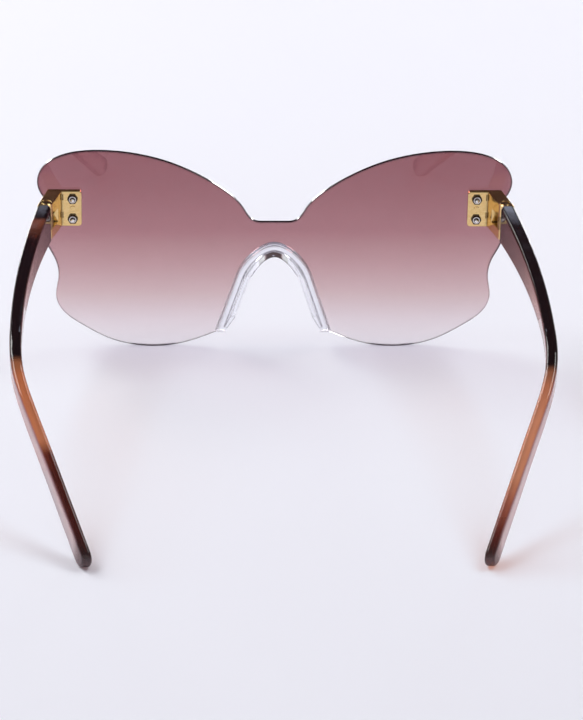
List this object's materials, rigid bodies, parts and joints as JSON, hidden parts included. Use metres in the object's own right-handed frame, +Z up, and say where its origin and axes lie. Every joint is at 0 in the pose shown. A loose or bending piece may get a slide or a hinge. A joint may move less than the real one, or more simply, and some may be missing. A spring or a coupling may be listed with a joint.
{
  "type": "butterfly sunglasses",
  "caption": "Sunglasses with a one-piece tinted butterfly shield lens, clear nose piece, gold endpieces and folding translucent brown temples.",
  "frame": {"origin": "on the table, midway between the temples and midway from front to rear", "axes": "+X to the right seen from behind, +Y forwards out of the lens, +Z up"},
  "size_m": [0.1586, 0.1462, 0.0669],
  "materials": {
    "tinted_lens": "polished, tint fading downwards",
    "clear_silicone": "clear, glossy",
    "clear_plastic": "clear",
    "gold_plate": "bright gold plating",
    "bright_steel": "bright plated",
    "dark_washer": "matt",
    "temple_plastic": "polished translucent brown"
  },
  "bodies": {
    "front": {"lens_shield": "tinted_lens", "nose_piece": "clear_silicone", "left_endpiece": "gold_plate", "left_lens_screws": "gold_plate", "left_front_washers": "gold_plate", "left_lens_sleeves": "clear_plastic", "left_rear_washers": "dark_washer", "left_lens_nuts": "bright_steel", "left_locating_pin": "gold_plate", "left_hinge_screw": "gold_plate", "right_endpiece": "gold_plate", "right_lens_screws": "gold_plate", "right_front_washers": "gold_plate", "right_lens_sleeves": "clear_plastic", "right_rear_washers": "dark_washer", "right_lens_nuts": "bright_steel", "right_locating_pin": "gold_plate", "right_hinge_screw": "gold_plate"},
    "left_temple_arm": {"left_temple": "temple_plastic", "left_temple_insert": "gold_plate"},
    "right_temple_arm": {"right_temple": "temple_plastic", "right_temple_insert": "gold_plate"}
  },
  "joints": [
    {"name": "left_temple_fold", "type": "hinge", "parent": "front", "child": "left_temple_arm", "pos_m": [-0.0709, 0.06035, 0.04793], "axis": [0, 0, 1], "range_deg": [0, 87]},
    {"name": "right_temple_fold", "type": "hinge", "parent": "front", "child": "right_temple_arm", "pos_m": [0.0709, 0.06035, 0.04793], "axis": [0, 0, -1], "range_deg": [0, 80]}
  ]
}
